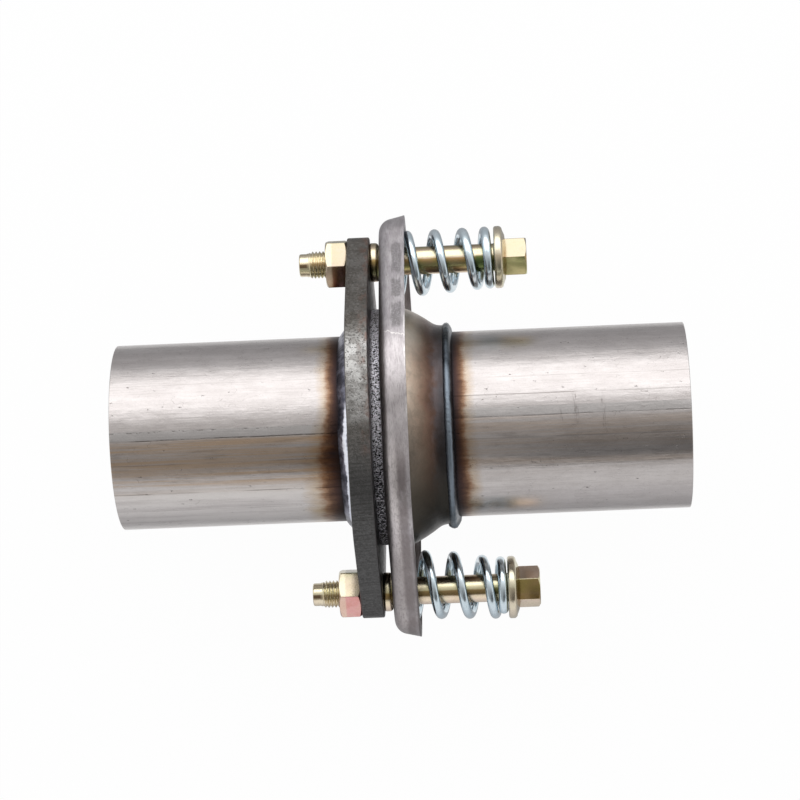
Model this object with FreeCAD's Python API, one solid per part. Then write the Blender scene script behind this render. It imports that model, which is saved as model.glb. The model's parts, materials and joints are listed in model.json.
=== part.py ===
import FreeCAD, Part

import math
import os

# A spring-bolt ball joint between two stub pipes.
# +X runs along the pipes towards the outlet, and the two bolts stand on the Y axis.
# The joint lies on the edges of its two flanges, with +Z up.
# The origin is on the pipe axis, at the flat flange's face under the gasket.

Vector = FreeCAD.Vector

# Pipes
pipe_bore_radius = 31.75
pipe_wall = 1.5
pipe_end_chamfer = 0.3
inlet_length = 106.4
spigot_length = 14.0
outlet_length = 88.9
outlet_insertion = 4.0
pipe_clearance = 0.05

# Flat flange
plate_thickness = 8.0
plate_edge_round = 0.6
plate_ear_wall = 3.9
bolt_hole_clearance = 0.35

# Both flanges are as wide as this land round the pipe, and lie on a short flat between two round shoulders
flange_land = 19.7
rest_flat_half_length = 10.0
shoulder_radius = 40.0

# Ring gasket with a ball face
gasket_wall = 9.2
gasket_length = 16.5
gasket_land = 3.1
ball_setback = 7.3
seat_clearance = 0.2

# Flared flange, pressed from sheet
sheet = 2.5
flange_gap = 3.6
rim_height = 9.3
rim_draft_degrees = 13.0
bend_inner_radius = 2.5
hub_fillet = 2.0
neck_blend_radius = 6.0
neck_straight = 1.7
mouth_round = 0.8

# Springs
wire_diameter = 3.4
foot_mean_radius = 10.5
head_mean_radius = 9.5
spring_length = 38.5
rise_start_turn = {"a": 0.45, "b": 0.25}
rise_end_turn = {"a": 3.95, "b": 3.7}
flat_turns = {"a": 0.6, "b": 0.7}
ramp_turns = 1.4
foot_shift = 1.3
# How much wider each coil is above its foot, and how much further it leans to the pipe there
belly_width = {"a": 0.0, "b": 0.6}
belly_lean = {"a": 0.0, "b": 1.1}
foot_to_hub = 1.6
foot_to_rim = 1.5
spring_seat_gap = 0.1
wire_sides = 12
rings_per_turn = 16

# Shoulder bolts
thread_diameter = 9.8
thread_overhang = 6.2
point_diameter = 8.2
point_length = 3.4
point_chamfer = 0.8
collar_diameter = 14.0
collar_height = 3.2
collar_round = 0.9
shank_diameter = 10.0
hole_over_collar = 1.0
ring_over_spring = 0.0
ring_height = 3.1
ring_round = 0.7
cone_height = 0.8
cone_top_over_hex = 1.0
head_across_flats = 13.0
head_height = 7.7
head_chamfer = 0.9

# Nuts
nut_across_flats = 16.0
nut_height = 7.9
nut_chamfer = 1.1
nut_thread_clearance = 0.05

# Weld beads
inlet_weld_leg = 4.1
inlet_weld_crown = 0.5
outlet_weld_overlap = 1.2
outlet_weld_leg = 2.4
outlet_weld_crown = 0.9

# How far a cutting tool runs past the metal that it cuts
overrun = 1.0

# Turn of each hexagon about the bolt, as the angle of one corner from +Y towards +Z
head_corner_degrees = {"a": 93.7, "b": 124.5}
nut_corner_degrees = {"a": 97.9, "b": 93.6}
# The side of the joint that each bolt stands on, along Y
side_of = {"a": 1.0, "b": -1.0}

# Sizes that follow
pipe_radius = pipe_bore_radius + pipe_wall
socket_radius = pipe_radius + pipe_clearance
spigot_end_x = spigot_length
inlet_start_x = spigot_end_x - inlet_length

gasket_radius = socket_radius + gasket_wall
ball_x = -ball_setback
ball_radius = math.hypot(gasket_radius, gasket_land + ball_setback)

pan_back_x = flange_gap
pan_floor_x = pan_back_x + sheet
rim_edge_x = pan_back_x + rim_height
seat_radius = ball_radius + seat_clearance
hub_radius = seat_radius + sheet
neck_radius = socket_radius + sheet
blend_centre_r = neck_radius + neck_blend_radius
blend_centre_x = ball_x + math.sqrt((hub_radius + neck_blend_radius) ** 2 - blend_centre_r ** 2)
neck_end_x = blend_centre_x + neck_straight
outlet_start_x = neck_end_x - outlet_insertion
outlet_end_x = outlet_start_x + outlet_length

# The hub's fillet meets the pan floor on this circle, and the springs stand just outside it
hub_foot_x = pan_floor_x + hub_fillet
hub_foot_radius = math.sqrt((hub_radius + hub_fillet) ** 2 - (hub_foot_x - ball_x) ** 2)
bolt_y = hub_foot_radius + foot_to_hub + foot_mean_radius + foot_shift

wire_radius = wire_diameter / 2
thread_radius = thread_diameter / 2
collar_radius = collar_diameter / 2
shank_radius = shank_diameter / 2
bolt_hole_radius = thread_radius + bolt_hole_clearance
pan_hole_radius = collar_radius + hole_over_collar
ring_under_x = pan_floor_x + spring_length
ring_radius = head_mean_radius + wire_radius + ring_over_spring
ring_top_x = ring_under_x + ring_height
cone_top_x = ring_top_x + cone_height
head_top_x = cone_top_x + head_height

draft_slope = math.tan(math.radians(rim_draft_degrees))
sheet_across_rim = sheet / math.cos(math.radians(rim_draft_degrees))
inner_ear_radius = foot_mean_radius + wire_radius - foot_shift + foot_to_rim
rim_ear_radius = inner_ear_radius + (rim_edge_x - pan_floor_x) * draft_slope + sheet_across_rim

flange_half_width = socket_radius + flange_land
plate_ear_radius = bolt_hole_radius + plate_ear_wall

X_AXIS = Vector(1, 0, 0)
ORIGIN = Vector(0, 0, 0)
# The highest value of s (1 - s) squared, at a third of the way up a spring
BELLY_PEAK = 4 / 27


def at(x, y, z=0.0):
    return Vector(x, y, z)


def spoke(length, turn):
    """A spoke of this length square to X, turned from +Y towards +Z."""
    return at(0, length * math.cos(turn), length * math.sin(turn))


def bar(radius, x_start, x_end, y=0.0):
    """A solid round bar along X."""
    return Part.makeCylinder(radius, x_end - x_start, at(x_start, y), X_AXIS)


def turned(edges):
    """The solid that a closed outline in the XY plane sweeps round the X axis."""
    face = Part.Face(Part.Wire(edges))
    solid = face.revolve(ORIGIN, X_AXIS, 360)
    return solid if solid.Volume > 0 else solid.reversed()


def line(start, end):
    return Part.LineSegment(start, end).toShape()


def arc(start, middle, end):
    return Part.Arc(start, middle, end).toShape()


def turned_polygon(points):
    """A turned solid whose outline has straight sides, given as (x, radius) points."""
    corners = [at(x, r) for x, r in points]
    return turned([line(a, b) for a, b in zip(corners, corners[1:] + corners[:1])])


def flange_blank(ear_radius, edge_section, inset, x_start, x_end):
    """A two-eared flange: a flat middle inside the outline by inset, with an edge section carried round it.

    The section is a face at the tip of the +Y ear. It turns round the bolt, runs along the straight side,
    turns on round the shoulder and runs along the flat, and that quarter is mirrored.
    """
    ear_centre = at(0, bolt_y)
    arc_centre = at(0, rest_flat_half_length, flange_half_width - shoulder_radius)
    apart = ear_centre - arc_centre
    tangent = math.atan2(apart.z, apart.y) + math.acos((shoulder_radius - ear_radius) / apart.Length)
    outwards = spoke(1, tangent)
    along_side = (arc_centre + outwards * shoulder_radius) - (ear_centre + outwards * ear_radius)
    round_ear = edge_section.revolve(ear_centre, X_AXIS, math.degrees(tangent))
    side_section = edge_section.copy()
    side_section.rotate(ear_centre, X_AXIS, math.degrees(tangent))
    along = side_section.extrude(along_side)
    arc_section = side_section.copy()
    arc_section.translate(along_side)
    round_arc = arc_section.revolve(arc_centre, X_AXIS, 90 - math.degrees(tangent))
    flat_section = arc_section.copy()
    flat_section.rotate(arc_centre, X_AXIS, 90 - math.degrees(tangent))
    flat = flat_section.extrude(at(0, -rest_flat_half_length))

    centre = at(x_start, 0)
    ear = ear_radius - inset
    tip = centre + ear_centre + spoke(ear, 0)
    ear_middle = centre + ear_centre + spoke(ear, tangent / 2)
    ear_end = centre + ear_centre + spoke(ear, tangent)
    arc_start = ear_end + along_side
    arc_middle = centre + arc_centre + spoke(shoulder_radius - inset, (tangent + math.pi / 2) / 2)
    flat_start = centre + arc_centre + spoke(shoulder_radius - inset, math.pi / 2)
    top = flat_start + at(0, -rest_flat_half_length)
    outline = [
        line(centre, tip),
        arc(tip, ear_middle, ear_end),
        line(ear_end, arc_start),
        arc(arc_start, arc_middle, flat_start),
        line(flat_start, top),
        line(top, centre),
    ]
    middle = Part.Face(Part.Wire(outline)).extrude(X_AXIS * (x_end - x_start))
    quarter = middle.fuse([round_ear, along, round_arc, flat])
    half = quarter.fuse(quarter.mirror(ORIGIN, at(0, 1)))
    return half.fuse(half.mirror(ORIGIN, at(0, 0, 1))).removeSplitter()


def corner_round(plane_x, ball, radius):
    """A round between a plane and a ball: its end on the plane, its middle and its end on the ball."""
    centre = at(plane_x + radius, math.sqrt((ball + radius) ** 2 - (plane_x + radius - ball_x) ** 2))
    to_ball = (at(ball_x, 0) - centre).normalize()
    halfway = (to_ball - X_AXIS).normalize()
    return centre - X_AXIS * radius, centre + halfway * radius, centre + to_ball * radius


def hexagon(across_flats, x_start, x_end, y, corner_degrees, start_chamfer, end_chamfer):
    """A hexagonal prism along X whose corners are chamfered at its ends, by a cone of 60 degrees."""
    corner_radius = across_flats / math.sqrt(3)
    turns = [math.radians(corner_degrees + 60 * k) for k in range(6)]
    corners = [at(x_start, y) + spoke(corner_radius, turn) for turn in turns]
    prism = Part.Face(Part.makePolygon(corners + corners[:1])).extrude(X_AXIS * (x_end - x_start))
    rise = math.tan(math.radians(60))
    face_radius = across_flats / 2
    envelope = [(x_start, 0)]
    for x, chamfer, inwards in ((x_start, start_chamfer, 1), (x_end, end_chamfer, -1)):
        ends = [(x, face_radius), (x + inwards * chamfer, face_radius + chamfer * rise)]
        envelope += (ends[::inwards] if chamfer else [(x, 2 * corner_radius)])
    envelope.append((x_end, 0))
    cutter = turned_polygon(envelope)
    cutter.translate(at(0, y))
    return prism.common(cutter)


def make_pipe(x_start, x_end):
    """A stub pipe with deburred ends."""
    c = pipe_end_chamfer
    outer, inner = pipe_radius, pipe_bore_radius
    return turned_polygon(
        [
            (x_start, inner + c),
            (x_start, outer - c),
            (x_start + c, outer),
            (x_end - c, outer),
            (x_end, outer - c),
            (x_end, inner + c),
            (x_end - c, inner),
            (x_start + c, inner),
        ]
    )


def make_flat_flange():
    """The plate, with its pipe hole, two bolt holes and eased edges."""
    back, ease = -plate_thickness, plate_edge_round
    edge_y = bolt_y + plate_ear_radius
    inner_y = edge_y - ease
    bend = ease * (1 - math.sqrt(0.5))
    edge = [
        line(at(back, inner_y), at(0, inner_y)),
        arc(at(0, inner_y), at(-bend, edge_y - bend), at(-ease, edge_y)),
        line(at(-ease, edge_y), at(back + ease, edge_y)),
        arc(at(back + ease, edge_y), at(back + bend, edge_y - bend), at(back, inner_y)),
    ]
    plate = flange_blank(plate_ear_radius, Part.Face(Part.Wire(edge)), ease, back, 0)
    holes = [bar(socket_radius, back - overrun, overrun)]
    holes += [bar(bolt_hole_radius, back - overrun, overrun, side * bolt_y) for side in side_of.values()]
    for hole in holes:
        plate = plate.cut(hole)
    return plate


def make_inlet_weld():
    """A fillet weld in the corner between the pipe and the back of the plate."""
    corner_x = -plate_thickness
    toe = at(corner_x - inlet_weld_leg, pipe_radius)
    corner = at(corner_x, pipe_radius)
    top = at(corner_x, pipe_radius + inlet_weld_leg)
    bulge = (toe + top) * 0.5 + at(-1, 1).normalize() * inlet_weld_crown
    return turned([line(toe, corner), line(corner, top), arc(top, bulge, toe)])


def make_ring_gasket():
    """A ring that is a cylinder beside the plate and a ball towards the seat."""
    ring = bar(gasket_radius, 0, gasket_length).cut(bar(socket_radius, -overrun, gasket_length + overrun))
    ball = Part.makeSphere(ball_radius, at(ball_x, 0))
    return ring.common(ball)


def make_hub():
    """The spherical seat, which turns through a blend into the neck, with one wall all along."""

    def toward_blend(radius):
        direction = (at(blend_centre_x, blend_centre_r) - at(ball_x, 0)).normalize()
        return at(ball_x, 0) + direction * radius

    def on_blend(radius, degrees):
        turn = math.radians(degrees)
        return at(blend_centre_x - radius * math.sin(turn), blend_centre_r - radius * math.cos(turn))

    def on_ball(radius, x):
        return at(x, math.sqrt(radius ** 2 - (x - ball_x) ** 2))

    half_blend = math.degrees(math.atan2(blend_centre_x - ball_x, blend_centre_r)) / 2
    seat_end, hub_end = toward_blend(seat_radius), toward_blend(hub_radius)
    mouth, mouth_middle, seat_start = corner_round(pan_back_x, seat_radius, mouth_round)
    foot, foot_middle, hub_start = corner_round(pan_floor_x, hub_radius, hub_fillet)
    seat_middle = on_ball(seat_radius, (seat_start.x + seat_end.x) / 2)
    hub_middle = on_ball(hub_radius, (hub_start.x + hub_end.x) / 2)
    bore_start, neck_start = at(blend_centre_x, socket_radius), at(blend_centre_x, neck_radius)
    bore_end, neck_end = at(neck_end_x, socket_radius), at(neck_end_x, neck_radius)
    foot_back = at(pan_back_x, foot.y)
    return turned(
        [
            arc(mouth, mouth_middle, seat_start),
            arc(seat_start, seat_middle, seat_end),
            arc(seat_end, on_blend(neck_blend_radius + sheet, half_blend), bore_start),
            line(bore_start, bore_end),
            line(bore_end, neck_end),
            line(neck_end, neck_start),
            arc(neck_start, on_blend(neck_blend_radius, half_blend), hub_end),
            arc(hub_end, hub_middle, hub_start),
            arc(hub_start, foot_middle, foot),
            line(foot, foot_back),
            line(foot_back, mouth),
        ]
    )


def make_pan():
    """The pressed plate with its bent and drafted rim, as a tray open towards the springs."""
    draft = math.radians(rim_draft_degrees)
    outer_bend = bend_inner_radius + sheet
    edge_y = bolt_y + rim_ear_radius
    wall_out = at(-math.sin(draft), math.cos(draft))
    # The bend's centre lies under the rim edge by the height that the drafted wall still has to climb
    centre_x = pan_back_x + outer_bend
    wall_end_x = centre_x + wall_out.x * outer_bend
    centre_y = edge_y - (rim_edge_x - wall_end_x) * draft_slope - wall_out.y * outer_bend
    centre = at(centre_x, centre_y)
    halfway = (wall_out - X_AXIS).normalize()
    back, floor = at(pan_back_x, centre_y), at(pan_floor_x, centre_y)
    outer_edge, inner_edge = at(rim_edge_x, edge_y), at(rim_edge_x, edge_y - sheet_across_rim)
    outer_wall, inner_wall = centre + wall_out * outer_bend, centre + wall_out * bend_inner_radius
    section = [
        line(floor, back),
        arc(back, centre + halfway * outer_bend, outer_wall),
        line(outer_wall, outer_edge),
        line(outer_edge, inner_edge),
        line(inner_edge, inner_wall),
        arc(inner_wall, centre + halfway * bend_inner_radius, floor),
    ]
    inset = edge_y - centre_y
    return flange_blank(rim_ear_radius, Part.Face(Part.Wire(section)), inset, pan_back_x, pan_floor_x)


def make_flared_flange():
    """Pan and hub as the one pressing that they are, bored for the bolts."""
    pan = make_pan().cut(bar(hub_foot_radius, pan_back_x - overrun, pan_floor_x + overrun))
    pressing = pan.fuse(make_hub()).removeSplitter()
    for side in side_of.values():
        hole = bar(pan_hole_radius, pan_back_x - overrun, pan_floor_x + overrun, side * bolt_y)
        pressing = pressing.cut(hole)
    return pressing


def make_outlet_weld():
    """A bead over the end of the neck, down onto the pipe."""
    start = at(neck_end_x - outlet_weld_overlap, neck_radius)
    edge = at(neck_end_x, neck_radius)
    corner = at(neck_end_x, pipe_radius)
    toe = at(neck_end_x + outlet_weld_leg, pipe_radius)
    bulge = (edge + toe) * 0.5 + at(1, 1).normalize() * outlet_weld_crown
    crown = at(neck_end_x, neck_radius + outlet_weld_crown)
    outline = Part.BSplineCurve()
    outline.interpolate([toe, bulge, crown, start])
    return turned([line(start, edge), line(edge, corner), line(corner, toe), outline.toShape()])


def make_spring_bolt(name):
    """Head with ring, plain shank, collar that stops on the plate, thread and dog point."""
    y = side_of[name] * bolt_y
    nut_end_x = -plate_thickness - nut_height
    thread_end_x = nut_end_x - thread_overhang
    point_end_x = thread_end_x - point_length
    point_radius = point_diameter / 2
    body = turned_polygon(
        [
            (point_end_x, 0),
            (point_end_x, point_radius - point_chamfer),
            (point_end_x + point_chamfer, point_radius),
            (thread_end_x, point_radius),
            (thread_end_x + thread_radius - point_radius, thread_radius),
            (0, thread_radius),
            (0, collar_radius),
            (collar_height - collar_round, collar_radius),
            (collar_height, collar_radius - collar_round),
            (collar_height, shank_radius),
            (ring_under_x, shank_radius),
            (ring_under_x, ring_radius - ring_round),
            (ring_under_x + ring_round, ring_radius),
            (ring_top_x - ring_round, ring_radius),
            (ring_top_x, ring_radius - ring_round),
            (cone_top_x, head_across_flats / math.sqrt(3) + cone_top_over_hex),
            (cone_top_x, 0),
        ]
    )
    body.translate(at(0, y))
    corner = head_corner_degrees[name]
    head = hexagon(head_across_flats, cone_top_x, head_top_x, y, corner, 0, head_chamfer)
    return body.fuse(head).removeSplitter()


def make_nut(name):
    """A hexagon nut against the back of the plate."""
    y = side_of[name] * bolt_y
    back_x = -plate_thickness
    start_x = back_x - nut_height
    corner = nut_corner_degrees[name]
    nut = hexagon(nut_across_flats, start_x, back_x, y, corner, nut_chamfer, nut_chamfer)
    return nut.cut(bar(thread_radius + nut_thread_clearance, start_x - overrun, back_x + overrun, y))


def soft_ramp(turns):
    """Rises from 0 to the straight line through the origin, as a parabola over ramp_turns round it."""
    if abs(turns) < ramp_turns / 2:
        return (turns + ramp_turns / 2) ** 2 / (2 * ramp_turns)
    return max(0.0, turns)


def wire_ring(place, turns):
    """The wire's section, square to the path place(turns), as a polygon of the same area."""
    nudge = 1e-4
    way = (place(turns + nudge) - place(turns - nudge)).normalize()
    outward = spoke(1.0, 2 * math.pi * turns)
    outward = (outward - way * (outward * way)).normalize()
    across = way.cross(outward)
    step = 2 * math.pi / wire_sides
    reach = wire_radius * math.sqrt(step / math.sin(step))
    corners = [
        place(turns) + outward * (reach * math.cos(step * k)) + across * (reach * math.sin(step * k))
        for k in range(wire_sides)
    ]
    return Part.makePolygon(corners + corners[:1])


def make_spring(name):
    """A right-handed coil, wider at its foot in the pan, whose foot leans towards the pipe."""
    side = side_of[name]
    foot_x = pan_floor_x + spring_seat_gap + wire_radius
    rise = spring_length - 2 * spring_seat_gap - wire_diameter
    rise_start = rise_start_turn[name]
    rise_end = rise_end_turn[name]
    pitch = rise / (rise_end - rise_start)

    def place(turns):
        climbed = soft_ramp(turns - rise_start) - soft_ramp(turns - rise_end)
        x = foot_x + pitch * climbed
        share = (x - foot_x) / rise
        belly = share * (1 - share) ** 2 / BELLY_PEAK
        radius = foot_mean_radius + (head_mean_radius - foot_mean_radius) * share + belly_width[name] * belly
        lean = foot_shift * (1 - share) + belly_lean[name] * belly
        centre = at(x, side * (bolt_y - lean))
        return centre + spoke(radius, 2 * math.pi * turns)

    foot_turn = rise_start - flat_turns[name]
    coils = rise_end + flat_turns[name] - foot_turn
    steps = round(coils * rings_per_turn)
    rings = [wire_ring(place, foot_turn + coils * k / steps) for k in range(steps + 1)]
    return Part.makeLoft(rings, True, True)


parts = {
    "inlet_pipe": make_pipe(inlet_start_x, spigot_end_x),
    "flat_flange": make_flat_flange(),
    "inlet_weld": make_inlet_weld(),
    "ring_gasket": make_ring_gasket(),
    "flared_flange": make_flared_flange(),
    "outlet_pipe": make_pipe(outlet_start_x, outlet_end_x),
    "outlet_weld": make_outlet_weld(),
}
for name in side_of:
    parts["spring_bolt_" + name] = make_spring_bolt(name)
    parts["nut_" + name] = make_nut(name)
    parts["spring_" + name] = make_spring(name)

os.makedirs("parts", exist_ok=True)
for node, shape in parts.items():
    if not shape.isValid():
        raise ValueError(node + " is not a valid solid")
    shape.exportStep(os.path.join("parts", node + ".step"))
    box = shape.BoundBox
    print(
        f"{node}: {len(shape.Solids)} solid, {shape.Volume / 1000:.2f} cm3, "
        f"x {box.XMin:.2f} to {box.XMax:.2f}, y {box.YMin:.2f} to {box.YMax:.2f}, "
        f"z {box.ZMin:.2f} to {box.ZMax:.2f}"
    )
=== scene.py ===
# %% [markdown]
# # The looks of a flexible pipe connector
#
# The object is a ball joint for an exhaust pipe. Two stub pipes meet in it. One carries a flat flange and
# a ring gasket with a ball face, the other a flange pressed as a shallow pan, and two bolts with springs
# hold the pan on the ball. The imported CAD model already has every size. This lesson turns, cuts and coils
# a finer piece over each solid, and gives each kind of steel its own finish.

# %% Load the frame
import json
import math
from functools import cached_property
from types import SimpleNamespace

import bmesh
import bpy
from mathutils import Matrix, Vector, noise


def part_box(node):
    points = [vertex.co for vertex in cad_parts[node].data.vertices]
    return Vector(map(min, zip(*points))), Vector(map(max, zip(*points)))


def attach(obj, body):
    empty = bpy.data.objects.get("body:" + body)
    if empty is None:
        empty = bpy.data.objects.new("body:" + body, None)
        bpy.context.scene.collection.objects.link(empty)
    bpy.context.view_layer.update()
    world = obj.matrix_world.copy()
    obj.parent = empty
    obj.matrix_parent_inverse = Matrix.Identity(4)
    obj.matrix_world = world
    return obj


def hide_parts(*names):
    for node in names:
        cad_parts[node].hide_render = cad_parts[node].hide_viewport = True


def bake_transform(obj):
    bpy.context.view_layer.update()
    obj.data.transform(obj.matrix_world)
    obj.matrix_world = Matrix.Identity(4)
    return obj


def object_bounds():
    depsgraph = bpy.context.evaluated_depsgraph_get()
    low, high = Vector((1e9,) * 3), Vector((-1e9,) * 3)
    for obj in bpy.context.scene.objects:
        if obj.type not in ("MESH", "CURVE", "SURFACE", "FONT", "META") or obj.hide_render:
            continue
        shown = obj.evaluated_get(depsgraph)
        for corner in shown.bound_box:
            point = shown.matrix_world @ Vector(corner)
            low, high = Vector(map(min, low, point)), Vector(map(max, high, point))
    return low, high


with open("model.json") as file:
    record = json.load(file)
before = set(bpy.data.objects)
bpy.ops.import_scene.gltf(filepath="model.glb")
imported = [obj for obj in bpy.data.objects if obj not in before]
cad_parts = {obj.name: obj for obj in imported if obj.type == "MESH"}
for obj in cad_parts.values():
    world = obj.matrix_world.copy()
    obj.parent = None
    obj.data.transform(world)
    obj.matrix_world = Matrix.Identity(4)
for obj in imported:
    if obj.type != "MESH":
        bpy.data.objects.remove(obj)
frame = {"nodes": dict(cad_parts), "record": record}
cad_box = [list(corner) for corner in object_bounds()]
print("CAD nodes:", len(frame["nodes"]), "box:", cad_box)

# %% [markdown]
# ## Sizes from the frame
#
# Blender works in metres, but small lathe work is easier to read in millimetres. So every piece is
# modelled in millimetres and scaled once, when it is handed over. Where the CAD node's box gives a size,
# it is read from there.

# %% Read the main places in millimetres
mm = 0.001


def box_mm(node):
    """The lowest and highest corner of a CAD node at rest, in millimetres."""
    low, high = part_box(node)
    return Vector(low) / mm, Vector(high) / mm


inlet_low, inlet_high = box_mm("inlet_pipe")
outlet_low, outlet_high = box_mm("outlet_pipe")
bolt_low, bolt_high = box_mm("spring_bolt_a")
pipe_radius = inlet_high.z
pipe_wall = 1.5
plate_back_x = box_mm("flat_flange")[0].x
bolt_y = (bolt_low.y + bolt_high.y) / 2
side_of = {"a": 1, "b": -1}
print("pipe radius", round(pipe_radius, 2), "bolts at y", round(bolt_y, 2))

# %% [markdown]
# ## Which body carries what
#
# The record says which body each node belongs to and which finish it takes. A new piece takes its body from
# there, so the bodies are not written twice.

# %% Look up the bodies
record = frame["record"]
body_of = {node: body for body, nodes in record["behaviour"]["bodies"].items() for node in nodes}
print("bodies:", sorted(set(body_of.values())))

# %% [markdown]
# ## Shader arithmetic
#
# A finish is mostly arithmetic on patterns: this much rust here, less of it there. So one class stands for
# the output of a node and takes part in Python's own sums, and another adds any node from its type, its
# settings and its inputs. A colour is red, green and blue in linear light.

# %% Make a signal that can be added and multiplied
class Signal:
    """One output socket of a node, which works in plain arithmetic."""

    def __init__(self, finish, socket):
        self.finish = finish
        self.socket = socket

    def __abs__(self):
        return self.finish.maths("ABSOLUTE", self)

    def rise(self, low, high):
        """0 below low, 1 above high, and smooth between them. It falls where low is the larger."""
        inputs = {"Value": self, "From Min": low, "From Max": high}
        return self.finish.node("MapRange", {"interpolation_type": "SMOOTHSTEP"}, inputs)

    def stripe(self, centre, half_width, softness):
        """1 within half_width of centre, and 0 beyond a soft edge."""
        return abs(self - centre).rise(half_width + softness, half_width)

    def under(self, *layers):
        """This colour under layers, each (share, colour), from the lowest to the topmost."""
        top = self
        for share, colour in layers:
            top = self.finish.blend(share, top, colour)
        return top


for name, way in (("add", "ADD"), ("sub", "SUBTRACT"), ("mul", "MULTIPLY"), ("truediv", "DIVIDE")):
    setattr(Signal, f"__{name}__", lambda self, other, way=way: self.finish.maths(way, self, other))
    setattr(Signal, f"__r{name}__", lambda self, other, way=way: self.finish.maths(way, other, self))

# %% Make the class that adds nodes
class Finish:
    """A node tree and the few patterns that all the steels share. Lengths in it are millimetres."""

    def __init__(self, tree):
        self.tree = tree
        tree.nodes.clear()

    def node(self, kind, settings=None, inputs=None, output=0):
        made = self.tree.nodes.new("ShaderNode" + kind)
        for name, value in (settings or {}).items():
            setattr(made, name, value)
        for name, value in (inputs or {}).items():
            if isinstance(value, Signal):
                self.tree.links.new(value.socket, made.inputs[name])
            else:
                socket = made.inputs[name]
                socket.default_value = (*value, 1) if socket.type == "RGBA" else value
        return Signal(self, made.outputs[output]) if made.outputs else None

    def maths(self, operation, *values):
        return self.node("Math", {"operation": operation}, dict(enumerate(values)))

    @cached_property
    def place(self):
        """Where a point is, in millimetres."""
        spot = self.node("TexCoord", output="Object")
        return self.node("VectorMath", {"operation": "SCALE"}, {0: spot, "Scale": 1 / mm})

    def parts(self, vector):
        return [self.node("SeparateXYZ", inputs={0: vector}, output=axis) for axis in "XYZ"]

    def vector(self, x, y, z):
        return self.node("CombineXYZ", inputs={0: x, 1: y, 2: z})

    def stretched(self, along, across, up=None, at=None):
        factors = (along, across, across if up is None else up)
        return self.node("VectorMath", {"operation": "MULTIPLY"}, {0: at or self.place, 1: factors})

    def noise(self, along, across, detail=2, roughness=0.5, **where):
        """Soft noise. along is its scale along X, and across that along Y and Z unless up gives Z its own."""
        grid = self.stretched(along, across, **where)
        inputs = {"Vector": grid, "Scale": 1, "Detail": detail, "Roughness": roughness}
        return self.node("TexNoise", inputs=inputs)

    def cells(self, along, across):
        """The distance to the nearest point of a scatter."""
        return self.node("TexVoronoi", inputs={"Vector": self.stretched(along, across), "Scale": 1})

    def blend(self, factor, first, second, way="MIX"):
        settings = {"data_type": "RGBA", "blend_type": way}
        return self.node("Mix", settings, {0: factor, 6: first, 7: second}, output=2)

    def ramp(self, value, stops):
        """A colour ramp with the stops (position, colour)."""
        made = self.node("ValToRGB", inputs={0: value})
        elements = made.socket.node.color_ramp.elements
        while len(elements) < len(stops):
            elements.new(1)
        for element, (position, colour) in zip(elements, stops):
            element.position, element.color = position, (*colour, 1)
        return made

    def metal(self, base, roughness, *relief, metallic=1):
        """Closes a metal. relief is (height, depth in mm) for each bump, with height from 0 to 1."""
        normal = {}
        for height, depth_mm in relief:
            bump = {"Height": height, "Distance": depth_mm * mm, "Strength": 1, **normal}
            normal = {"Normal": self.node("Bump", inputs=bump)}
        inputs = {"Base Color": base, "Roughness": roughness, "Metallic": metallic, **normal}
        shader = self.node("BsdfPrincipled", inputs=inputs)
        self.node("OutputMaterial", inputs={"Surface": shader})
        print("finish", self.material.name, "has", len(self.tree.nodes), "nodes")
        return self.material


def new_metal(name):
    material = bpy.data.materials.new(name)
    material.use_nodes = True
    finish = Finish(material.node_tree)
    finish.material = material
    return finish

# %% [markdown]
# ## The studio
#
# Polished tube is a mirror that bends only one way, so it shows the room. The picture has a wide soft
# light on the far side, a dim ceiling round the camera, and a pale table. The light is an area lamp, the
# ceiling a card that only reflections see, and the table a plain floor that keeps the soft shadow.

# %% Make level sheets
def add_object(name, data):
    """A linked object that holds the data."""
    made = bpy.data.objects.new(name, data)
    bpy.context.scene.collection.objects.link(made)
    return made


def mesh_of(bm, name):
    mesh = bpy.data.meshes.new(name)
    bm.to_mesh(mesh)
    bm.free()
    return mesh


def level_sheet(name, low, high, height):
    """A rectangle from corner low to corner high, level with the table."""
    bm = bmesh.new()
    bmesh.ops.create_grid(bm, x_segments=1, y_segments=1, size=0.5)
    bmesh.ops.scale(bm, verts=bm.verts, vec=(high[0] - low[0], high[1] - low[1], 1))
    bmesh.ops.translate(bm, verts=bm.verts, vec=((low[0] + high[0]) / 2, (low[1] + high[1]) / 2, height))
    return add_object(name, mesh_of(bm, name))


# %% Lay the floor
floor_z = cad_box[0][2]
floor_half_size = 4
background_share = 0.97


def seen_directly(finish):
    """1 for the camera and for what mirrors and glass show, 0 for light that only falls on things."""
    kinds = ("Camera", "Glossy", "Transmission")
    camera, glossy, through = [finish.node("LightPath", output=f"Is {kind} Ray") for kind in kinds]
    return finish.maths("MAXIMUM", finish.maths("MAXIMUM", camera, glossy), through)


def make_floor():
    floor = level_sheet("floor", [-floor_half_size] * 2, [floor_half_size] * 2, floor_z)
    finish = new_metal("pale_floor")
    matt = finish.node("BsdfDiffuse", inputs={"Color": (0.9, 0.9, 0.9)})
    glow = finish.node("Emission", inputs={"Color": (1, 1, 1), "Strength": 1})
    share = seen_directly(finish) * background_share
    mixed = finish.node("MixShader", inputs={0: share, 1: matt, 2: glow})
    finish.node("OutputMaterial", inputs={"Surface": mixed})
    floor.data.materials.append(finish.material)


make_floor()
print("floor at z", round(floor_z, 4))

# %% Light the room
room_light = 0.62


def light_the_world():
    world = bpy.data.worlds.new("studio")
    world.use_nodes = True
    bpy.context.scene.world = world
    finish = Finish(world.node_tree)
    strength = room_light + seen_directly(finish) * (1 - room_light)
    pale = finish.node("Background", inputs={"Color": (1, 1, 1), "Strength": strength})
    finish.node("OutputWorld", inputs={"Surface": pale})


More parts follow.
